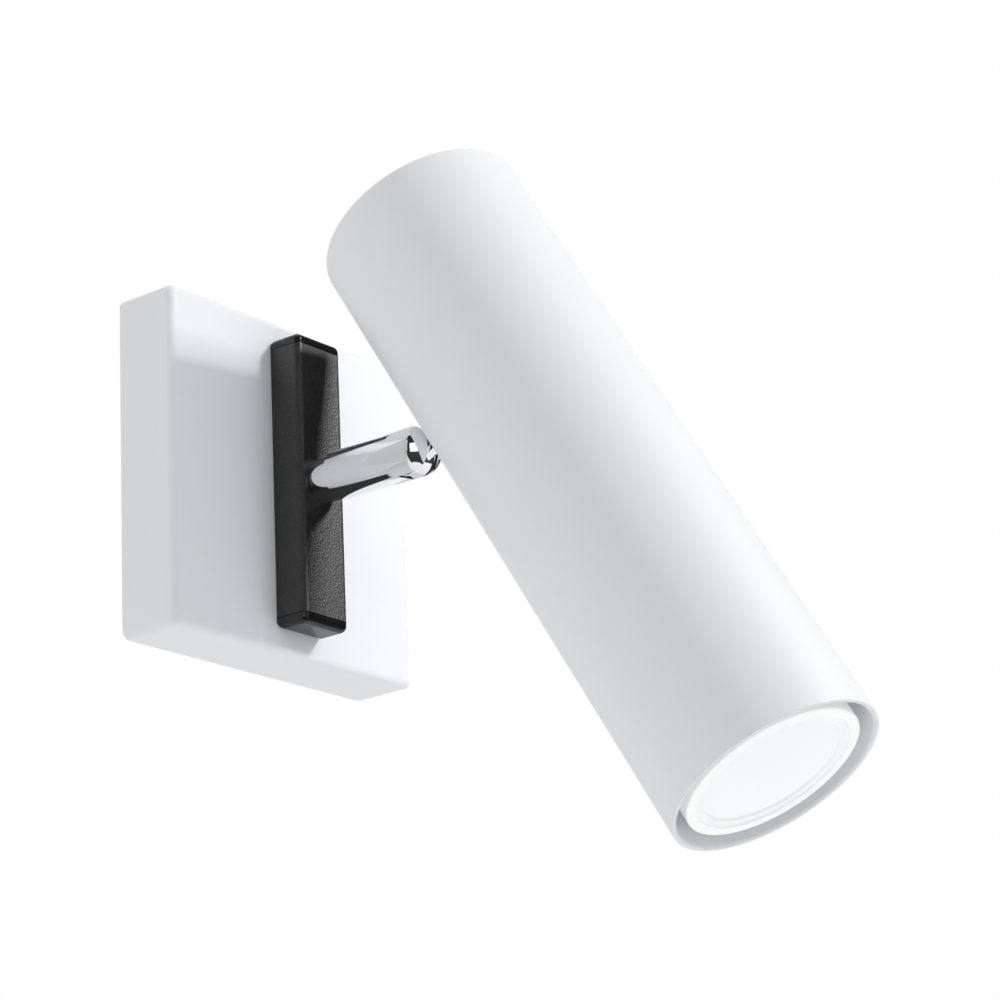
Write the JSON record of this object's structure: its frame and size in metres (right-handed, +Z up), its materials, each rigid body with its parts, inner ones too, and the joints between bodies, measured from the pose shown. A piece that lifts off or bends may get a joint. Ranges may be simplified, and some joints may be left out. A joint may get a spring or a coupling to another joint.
{
  "type": "pivoting spotlight wall light",
  "caption": "Wall spotlight with a square plate, an upright bar, a swivelling chrome arm with a slotted knuckle joint, and a plain tube shade round a twist-base reflector lamp.",
  "frame": {"origin": "middle of the wall plate's back, on the wall plane, midway between the bracket's two slotted wall holes and on the arm's swivel axis", "axes": "+Y points into the wall, so the lamp stands out towards -Y; +Z is up; +X is to the right for someone facing the wall"},
  "size_m": [0.1, 0.1975, 0.2037],
  "materials": {
    "plate_white": "satin",
    "tube_white": "satin",
    "bar_black": "matte",
    "cap_black": "gloss",
    "chrome": "polished",
    "zinc_steel": "satin",
    "aluminium": "satin",
    "brass": "satin",
    "block_white": "matte",
    "tube_cap_white": "satin",
    "inner_plastic": "matte",
    "lamp_white": "gloss",
    "lens_frosted": "satin",
    "holder_ceramic": "satin",
    "lead_brown": "satin",
    "lead_blue": "satin",
    "lead_green_yellow": "satin",
    "lead_sleeve": "matte"
  },
  "bodies": {
    "base": {"canopy": "plate_white", "canopy_catch": "zinc_steel", "canopy_screw": "zinc_steel", "wall_bracket": "zinc_steel", "tab_nut": "zinc_steel", "earth_lug": "brass", "earth_screw": "brass", "terminal_block": "block_white", "terminal_screws": "zinc_steel", "terminal_fixings": "zinc_steel", "lead_live": "lead_brown", "lead_neutral": "lead_blue", "lead_earth": "lead_green_yellow", "bar_body": "bar_black", "bar_cap_top": "cap_black", "bar_cap_bottom": "cap_black", "bar_screws": "zinc_steel", "bar_spacer": "aluminium", "swivel_post": "chrome", "post_washer": "zinc_steel", "post_nut": "zinc_steel"},
    "arm": {"arm_barrel": "chrome", "stop_screw": "chrome", "pivot_screw": "chrome", "friction_discs": "inner_plastic"},
    "head": {"knuckle": "chrome", "knuckle_nut": "zinc_steel", "clamp_saddle": "inner_plastic", "holder_bracket": "zinc_steel", "holder_screws": "zinc_steel", "lampholder": "holder_ceramic", "head_leads": "lead_sleeve", "lamp_tube": "tube_white", "rear_cap": "tube_cap_white", "lamp_body": "lamp_white", "lamp_pins": "zinc_steel", "lamp_rim": "lamp_white", "lamp_lens": "lens_frosted"}
  },
  "joints": [
    {"name": "arm_swivel", "type": "hinge", "parent": "base", "child": "arm", "pos_m": [0, -0.043, 0], "axis": [0, 1, 0], "range_deg": [-155.3, 164.7]},
    {"name": "head_tilt", "type": "hinge", "parent": "arm", "child": "head", "pos_m": [0, -0.064, 0], "axis": [-0.9966, 0, -0.0819], "range_deg": [-53.7, 21.5]}
  ]
}
